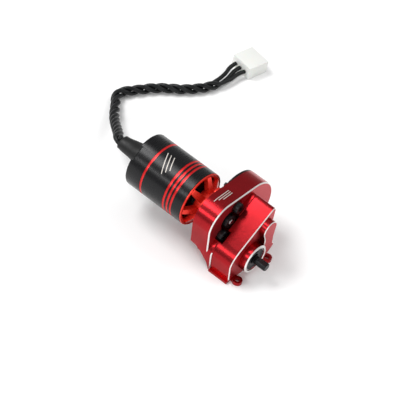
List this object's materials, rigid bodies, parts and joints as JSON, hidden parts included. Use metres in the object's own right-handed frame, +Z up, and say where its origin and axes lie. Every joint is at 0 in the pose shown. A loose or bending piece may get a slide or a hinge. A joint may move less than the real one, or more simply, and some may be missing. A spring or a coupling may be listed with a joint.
{
  "type": "geared brushless outrunner motor",
  "caption": "Small fixed-can brushless outrunner motor on a machined aluminium reduction gearbox, with a twisted three-wire lead ending in a white connector.",
  "frame": {"origin": "on the underside of the gearbox foot, straight below the motor shaft and 14 mm in front of the motor's front face", "axes": "+X along every shaft towards the output end, +Z up from the foot, +Y away from the motor-side wall, towards the spur gear's case"},
  "size_m": [0.073, 0.0748, 0.0212],
  "materials": {
    "black_anodised": "black anodised, satin",
    "red_anodised": "red anodised over bead-blasted and machined faces",
    "bare_aluminium": "bright diamond-cut chamfer",
    "steel": "ground",
    "black_steel": "black oxide",
    "lamination": "coated electrical steel",
    "enamelled_copper": "enamelled",
    "magnet": "nickel plated",
    "heat_shrink": "satin shrink sleeve",
    "wire_insulation": "silicone",
    "white_nylon": "moulded",
    "tin_plate": "tin plated"
  },
  "bodies": {
    "case": {"motor_can": "black_anodised", "rear_end_cap": "black_anodised", "back_plate": "black_anodised", "front_end_bell": "red_anodised", "rear_housing": "red_anodised", "front_housing": "red_anodised", "stator_core": "lamination", "stator_windings": "enamelled_copper", "motor_rear_bearing": "steel", "motor_front_bearing": "steel", "motor_screw_1": "black_steel", "motor_screw_2": "black_steel", "case_screw_1": "black_steel", "case_screw_2": "black_steel", "case_screw_3": "black_steel", "plate_screw_1": "black_steel", "plate_screw_2": "black_steel", "plate_screw_3": "black_steel", "spur_pin": "steel", "layshaft_rear_bearing": "steel", "layshaft_front_bearing": "steel", "idler_pin": "steel", "output_rear_bearing": "steel", "output_front_bearing": "steel", "lead_wire_a": "wire_insulation", "lead_wire_b": "wire_insulation", "lead_wire_c": "wire_insulation", "lead_sleeve": "heat_shrink", "connector_housing": "white_nylon", "connector_contact_1": "tin_plate", "connector_contact_2": "tin_plate", "connector_contact_3": "tin_plate"},
    "rotor": {"rotor_bell": "steel", "magnet_ring": "magnet", "motor_shaft": "steel", "motor_pinion": "black_steel"},
    "spur": {"spur_pinion": "steel", "spur_gear": "black_steel"},
    "layshaft": {"layshaft": "steel", "layshaft_gear": "steel"},
    "idler": {"idler_gear": "steel"},
    "output": {"output_shaft": "black_steel", "output_gear": "steel"}
  },
  "joints": [
    {"name": "rotor_spin", "type": "hinge", "parent": "case", "child": "rotor", "pos_m": [0, 0, 0.0134], "axis": [1, 0, 0], "continuous": true},
    {"name": "spur_spin", "type": "hinge", "parent": "case", "child": "spur", "pos_m": [0, 0.00922, 0.01023], "axis": [1, 0, 0], "continuous": true},
    {"name": "layshaft_spin", "type": "hinge", "parent": "case", "child": "layshaft", "pos_m": [0, 0.00594, 0.01331], "axis": [1, 0, 0], "continuous": true},
    {"name": "idler_spin", "type": "hinge", "parent": "case", "child": "idler", "pos_m": [0, 0.00582, 0.00986], "axis": [1, 0, 0], "continuous": true},
    {"name": "output_spin", "type": "hinge", "parent": "case", "child": "output", "pos_m": [0, 0.0016, 0.00559], "axis": [1, 0, 0], "continuous": true}
  ],
  "couplings": [
    {"joint": "spur_spin", "follows": "rotor_spin", "ratio": -0.3},
    {"joint": "layshaft_spin", "follows": "rotor_spin", "ratio": 0.15},
    {"joint": "idler_spin", "follows": "rotor_spin", "ratio": -0.16364},
    {"joint": "output_spin", "follows": "rotor_spin", "ratio": 0.062069}
  ]
}
